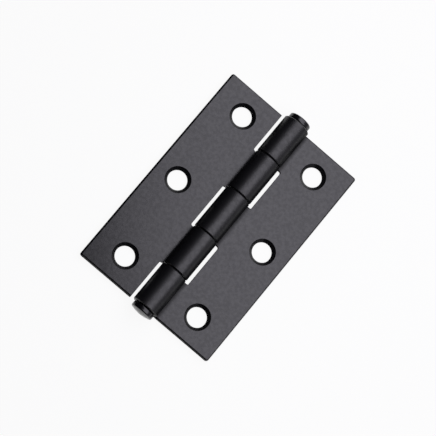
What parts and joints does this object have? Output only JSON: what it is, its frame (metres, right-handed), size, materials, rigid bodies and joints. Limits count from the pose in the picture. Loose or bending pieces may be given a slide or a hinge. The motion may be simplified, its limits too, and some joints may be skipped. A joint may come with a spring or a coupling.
{
  "type": "butt hinge",
  "caption": "Pressed-steel butt hinge with a semi-gloss black coat, opened flat: two rectangular leaves with countersunk screw holes, turning on a fixed pin with low button heads.",
  "frame": {"origin": "under the middle of the pin, in the plane of the leaves' flat backs, with the hinge opened flat", "axes": "+Y along the pin, +X from the pin towards the outer edge of the three-knuckle leaf, +Z out of the countersunk front faces, on the side where the barrel stands proud"},
  "size_m": [0.0514, 0.08, 0.0091],
  "materials": {
    "leaf_coat": "semi-gloss black powder coat with a faint orange-peel texture",
    "pin_coat": "semi-gloss black coat, slightly smoother than the leaves"
  },
  "bodies": {
    "three_knuckle_side": {"three_knuckle_leaf": "leaf_coat", "hinge_pin": "pin_coat"},
    "two_knuckle_side": {"two_knuckle_leaf": "leaf_coat"}
  },
  "joints": [
    {"name": "leaf_hinge", "type": "hinge", "parent": "three_knuckle_side", "child": "two_knuckle_side", "pos_m": [0, 0, 0.00455], "axis": [0, 1, 0], "range_deg": [-98, 190]}
  ]
}
